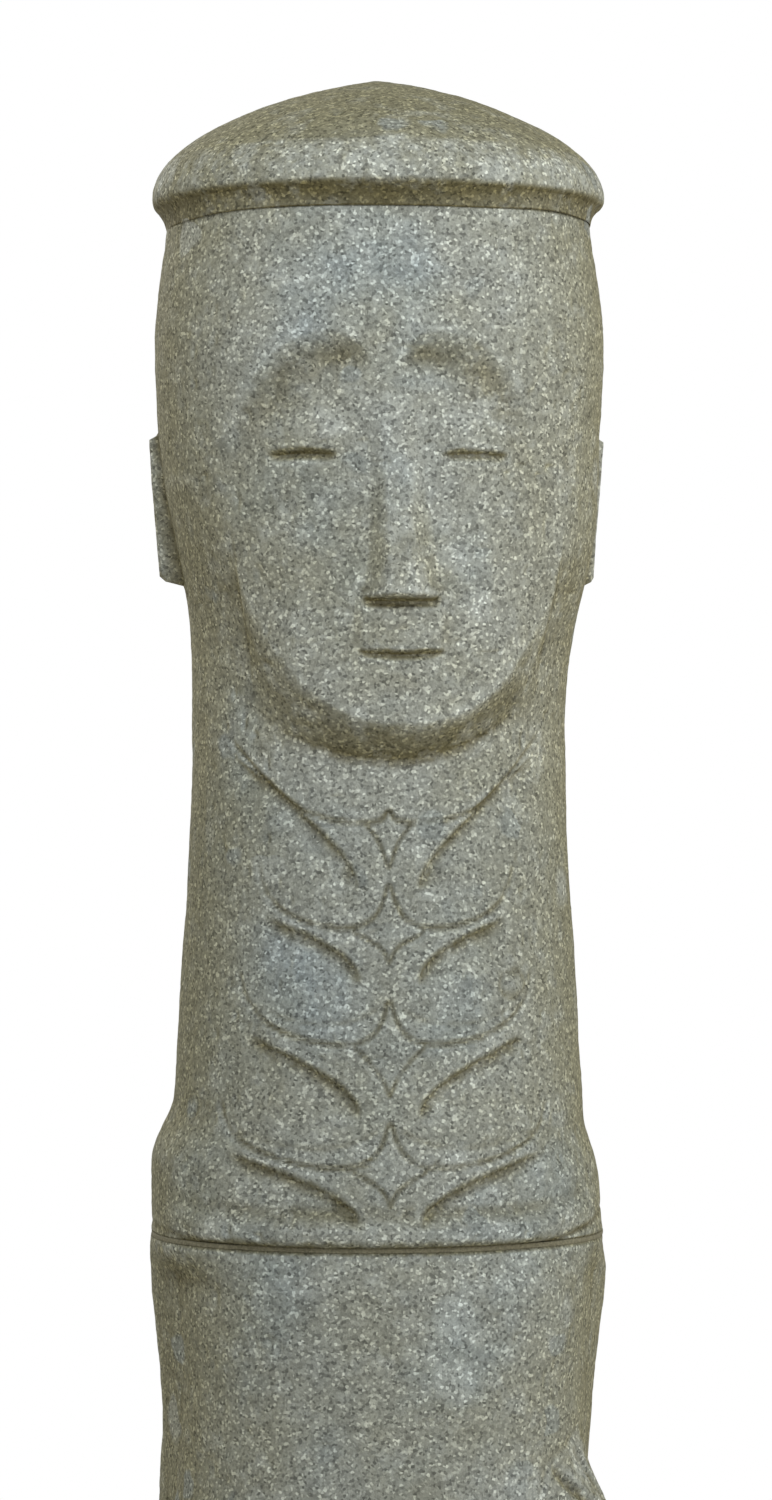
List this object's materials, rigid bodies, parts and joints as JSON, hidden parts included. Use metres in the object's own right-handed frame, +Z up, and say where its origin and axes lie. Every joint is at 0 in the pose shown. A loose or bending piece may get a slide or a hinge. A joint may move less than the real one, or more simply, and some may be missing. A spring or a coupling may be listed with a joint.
{
  "type": "stone tiki figure",
  "caption": "Standing carved stone figure with a lift-off domed cap, a schematic face, a long relief-carved neck and a collar roll, on a round plinth.",
  "frame": {"origin": "centre of the plinth's flat underside, on the floor", "axes": "+Z up along the figure, the figure faces -Y, +X is the figure's left side"},
  "size_m": [0.3, 0.3, 1.3],
  "materials": {
    "figure_stone": "matte",
    "cap_stone": "matte",
    "plinth_stone": "matte",
    "mortar": "matte",
    "stainless_steel": "satin",
    "resin": "matte",
    "rubber_pad": "matte"
  },
  "bodies": {
    "figure": {"cap_setting_pads": "rubber_pad", "cap_dowels": "stainless_steel", "cap_dowel_resin": "resin", "head_neck_stone": "figure_stone", "collar_bed": "mortar", "collar_dowels": "stainless_steel", "collar_dowel_resin": "resin", "torso_stone": "figure_stone", "base_bed": "mortar", "base_dowels": "stainless_steel", "base_dowel_resin": "resin", "plinth_stone": "plinth_stone"},
    "cap": {"cap_stone": "cap_stone"}
  },
  "joints": [
    {"name": "cap_lift", "type": "slide", "parent": "figure", "child": "cap", "axis": [0, 0, 1], "range_m": [0, 0.06]}
  ]
}
